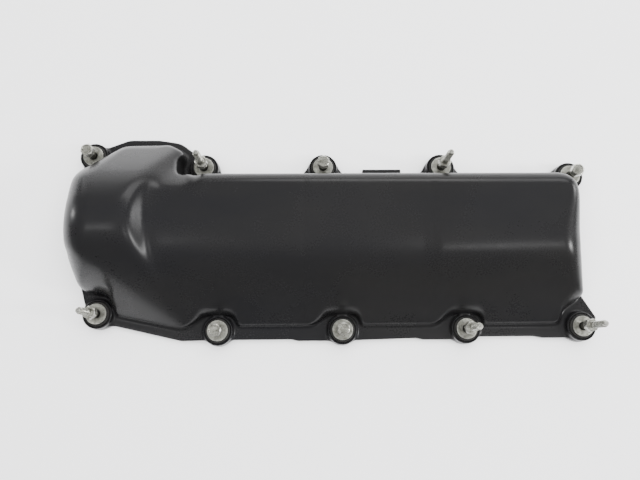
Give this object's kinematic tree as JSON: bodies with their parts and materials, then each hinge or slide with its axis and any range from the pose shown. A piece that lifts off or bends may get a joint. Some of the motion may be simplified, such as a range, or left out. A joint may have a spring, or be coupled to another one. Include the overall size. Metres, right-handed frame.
{
  "type": "engine cylinder head cover",
  "caption": "Moulded cylinder-head cover with a raised hump at one end, a perimeter gasket, and captive bolts and stud bolts on rubber isolators.",
  "frame": {"origin": "on the sealing plane, under the middle of the whole assembly", "axes": "+X along the camshaft, away from the hump; +Z away from the cylinder head; the sloping side faces -Y"},
  "size_m": [0.4662, 0.1888, 0.0733],
  "materials": {
    "cover_plastic": "black glass-filled nylon, satin",
    "gasket_rubber": "moulded sealing rubber, matt",
    "isolator_rubber": "moulded rubber, matt",
    "sleeve_steel": "zinc-plated steel, turned",
    "fastener_steel": "zinc-plated steel, rolled thread"
  },
  "bodies": {
    "cover_body": {"cover": "cover_plastic", "perimeter_gasket": "gasket_rubber", "isolator_1": "isolator_rubber", "isolator_2": "isolator_rubber", "isolator_3": "isolator_rubber", "isolator_4": "isolator_rubber", "isolator_5": "isolator_rubber", "isolator_6": "isolator_rubber", "isolator_7": "isolator_rubber", "isolator_8": "isolator_rubber", "isolator_9": "isolator_rubber", "isolator_10": "isolator_rubber", "sleeve_1": "sleeve_steel", "sleeve_2": "sleeve_steel", "sleeve_3": "sleeve_steel", "sleeve_4": "sleeve_steel", "sleeve_5": "sleeve_steel", "sleeve_6": "sleeve_steel", "sleeve_7": "sleeve_steel", "sleeve_8": "sleeve_steel", "sleeve_9": "sleeve_steel", "sleeve_10": "sleeve_steel"},
    "bolt_1_body": {"bolt_1": "fastener_steel"},
    "stud_2_body": {"stud_2": "fastener_steel"},
    "bolt_3_body": {"bolt_3": "fastener_steel"},
    "stud_4_body": {"stud_4": "fastener_steel"},
    "bolt_5_body": {"bolt_5": "fastener_steel"},
    "stud_6_body": {"stud_6": "fastener_steel"},
    "bolt_7_body": {"bolt_7": "fastener_steel"},
    "bolt_8_body": {"bolt_8": "fastener_steel"},
    "stud_9_body": {"stud_9": "fastener_steel"},
    "stud_10_body": {"stud_10": "fastener_steel"}
  },
  "joints": [
    {"name": "bolt_1_slide", "type": "slide", "parent": "cover_body", "child": "bolt_1_body", "axis": [0, 0, 1], "range_m": [-0.0098, 0.002]},
    {"name": "stud_2_slide", "type": "slide", "parent": "cover_body", "child": "stud_2_body", "axis": [0, 0, 1], "range_m": [-0.0098, 0.002]},
    {"name": "bolt_3_slide", "type": "slide", "parent": "cover_body", "child": "bolt_3_body", "axis": [0, 0, 1], "range_m": [-0.0098, 0.002]},
    {"name": "stud_4_slide", "type": "slide", "parent": "cover_body", "child": "stud_4_body", "axis": [0, 0, 1], "range_m": [-0.0098, 0.002]},
    {"name": "bolt_5_slide", "type": "slide", "parent": "cover_body", "child": "bolt_5_body", "axis": [0, 0, 1], "range_m": [-0.0098, 0.002]},
    {"name": "stud_6_slide", "type": "slide", "parent": "cover_body", "child": "stud_6_body", "axis": [0, 0, 1], "range_m": [-0.0098, 0.002]},
    {"name": "bolt_7_slide", "type": "slide", "parent": "cover_body", "child": "bolt_7_body", "axis": [0, 0, 1], "range_m": [-0.0098, 0.002]},
    {"name": "bolt_8_slide", "type": "slide", "parent": "cover_body", "child": "bolt_8_body", "axis": [0, 0, 1], "range_m": [-0.0098, 0.002]},
    {"name": "stud_9_slide", "type": "slide", "parent": "cover_body", "child": "stud_9_body", "axis": [0, 0, 1], "range_m": [-0.0098, 0.002]},
    {"name": "stud_10_slide", "type": "slide", "parent": "cover_body", "child": "stud_10_body", "axis": [0, 0, 1], "range_m": [-0.0098, 0.002]}
  ]
}
